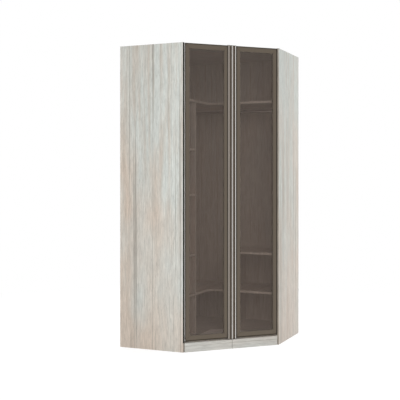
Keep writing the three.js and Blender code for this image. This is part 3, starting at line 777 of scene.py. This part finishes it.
for side in SIDES:
    for number, z in enumerate(HINGE_HEIGHTS, 1):
        eased(f"{side}_hinge_arm_{number}", "carcass", [plated], ARM_ARRIS, steps=3)
        eased(f"{side}_hinge_cup_{number}", f"{side}_door", [plated], CUP_ARRIS)
        shape = bmesh.new()
        for rise in (-PLATE_SCREW_RISE, PLATE_SCREW_RISE):
            centre = along_walls(side, PLATE_SCREW_DEPTH, PLATE_FACE, z + rise)
            turned_part(shape, centre, from_panel(side), SCREW_RINGS)
        for depth in ARM_SCREW_DEPTHS:
            turned_part(shape, along_walls(side, depth, ARM_FACE, z), from_panel(side), SCREW_RINGS)
        placed(f"{side}_hinge_screws_{number}", shape, "carcass", [plated])
        shape = bmesh.new()
        for rise in (-CUP_SCREW_RISE, CUP_SCREW_RISE):
            centre = Vector((mirrored(side, CUP_SCREW_X), FRONT_Y + CUP_SCREW_BEHIND, z + rise))
            turned_part(shape, centre, BACKWARDS, SMALL_SCREW_RINGS)
        placed(f"{side}_cup_screws_{number}", shape, f"{side}_door", [plated])


# The hanging rail: a chromed steel tube, 25 mm across, that gleams more sharply than the hinges, with a
# domed plug of dark ABS in its open end. A plated flange holds it on the right side panel, and two
# plated brackets hang it under the shelf.

BRACKET_ARRIS = 0.0005
RAIL_START, RAIL_LENGTH, RAIL_DEPTH, RAIL_HEIGHT = 0.1213, 0.9761, 0.280, 1.885
TUBE_RINGS = ((0.0110, 0.0002, 0), (0.0122, 0.0002, 0), (0.0125, 0.0006, 0),
              (0.0125, RAIL_LENGTH - 0.0004, 0), (0.0122, RAIL_LENGTH, 0), (0.0110, RAIL_LENGTH, 0))
PLUG_RINGS = ((0.0106, -0.0004, 0), (0.0108, 0.0003, 0), (0.0090, 0.0012, 0), (0.0050, 0.0018, 0))
chrome = brushed_metal("chromed_steel_tube", "A3A29F", 0.28, "z")
for name in ("rail_bracket_corner", "rail_bracket_middle", "rail_flange"):
    eased(name, "carcass", [plated], BRACKET_ARRIS)
open_end = along_walls("left", RAIL_START, RAIL_DEPTH, RAIL_HEIGHT)
shape = bmesh.new()
turned_part(shape, open_end, from_wall("left"), TUBE_RINGS, sides=48)
placed("hanging_rail_tube", shape, "carcass", [chrome], ["hanging_rail"])
shape = bmesh.new()
turned_part(shape, open_end, -from_wall("left"), PLUG_RINGS, sides=32)
placed("hanging_rail_plug", shape, "carcass", [dark_abs])


# The shelf pins: turned and zinc-plated steel, 5 mm across with a collar. They are pushed into holes
# in the side panels and the niche's divider, at the ends of each loose shelf.

PIN_RINGS = ((0.0024, -0.0002, 0), (0.0042, 0.0000, 0), (0.0042, 0.0012, 0), (0.0025, 0.0014, 0),
             (0.0025, 0.0076, 0), (0.0021, 0.0081, 0))
PIN_DEPTHS = (0.060, 0.440)
PIN_DROP = 0.0044
PANEL_FACE, DIVIDER_FACE = 1.1009, 0.8011
NICHE_UNDERSIDES = (0.70705, 1.18405, 1.54394)
MIDDLE_UNDERSIDE = 0.70705
shape = bmesh.new()
for underside in NICHE_UNDERSIDES:
    for depth in PIN_DEPTHS:
        for face, inwards in ((PANEL_FACE, from_panel("left")), (DIVIDER_FACE, -from_panel("left"))):
            centre = along_walls("left", depth, face, underside - PIN_DROP)
            turned_part(shape, centre, inwards, PIN_RINGS, sides=20)
placed("niche_shelf_pins", shape, "carcass", [plated])
shape = bmesh.new()
for depth in PIN_DEPTHS:
    centre = along_walls("right", depth, PANEL_FACE, MIDDLE_UNDERSIDE - PIN_DROP)
    turned_part(shape, centre, from_panel("right"), PIN_RINGS, sides=20)
placed("middle_shelf_pins", shape, "carcass", [plated])


# The cover caps: moulded plastic discs in the oak's colour, 20 mm across and with a slight sheen. They
# are pushed in over the cams under the fixed shelves and the top.

CAP_RINGS = ((0.0101, 0.0, 0), (0.0101, 0.0005, 0), (0.0094, 0.0010, 0), (0.0060, 0.0012, 0))
CAP_DEPTHS = (0.070, 0.260, 0.440)
CAP_REACH = 1.062
CAPPED_UNDERSIDES = {"top_panel": 2.342, "upper_shelf": 1.932, "lower_shelf": 0.391}
DOWNWARDS = Vector((0, 0, -1))
cap_plastic = moulded("oak_coloured_cover_caps", "CFC8BD", 0.5)
for name, underside in CAPPED_UNDERSIDES.items():
    shape = bmesh.new()
    for side in SIDES:
        for depth in CAP_DEPTHS:
            centre = along_walls(side, depth, CAP_REACH, underside)
            turned_part(shape, centre, DOWNWARDS, CAP_RINGS, sides=24)
    placed(f"{name}_cover_caps", shape, "carcass", [cap_plastic])


# The door bumpers: soft discs of the same grey PVC, 8 mm across, stuck to the front edges of the base and
# top panels, where the doors' meeting stiles close on them.

BUMPER_RINGS = ((0.0040, 0.0, 0), (0.0040, 0.0007, 0), (0.0030, 0.0012, 0))
BUMPER_X, BUMPER_FACE, BUMPER_HEIGHTS = 0.048, -0.56632, (0.0793, 2.3490)
FORWARDS = Vector((0, -1, 0))
shape = bmesh.new()
for x in (-BUMPER_X, BUMPER_X):
    for z in BUMPER_HEIGHTS:
        turned_part(shape, Vector((x, BUMPER_FACE, z)), FORWARDS, BUMPER_RINGS, sides=20)
placed("door_bumpers", shape, "carcass", [grey_pvc_and_painted_shade])
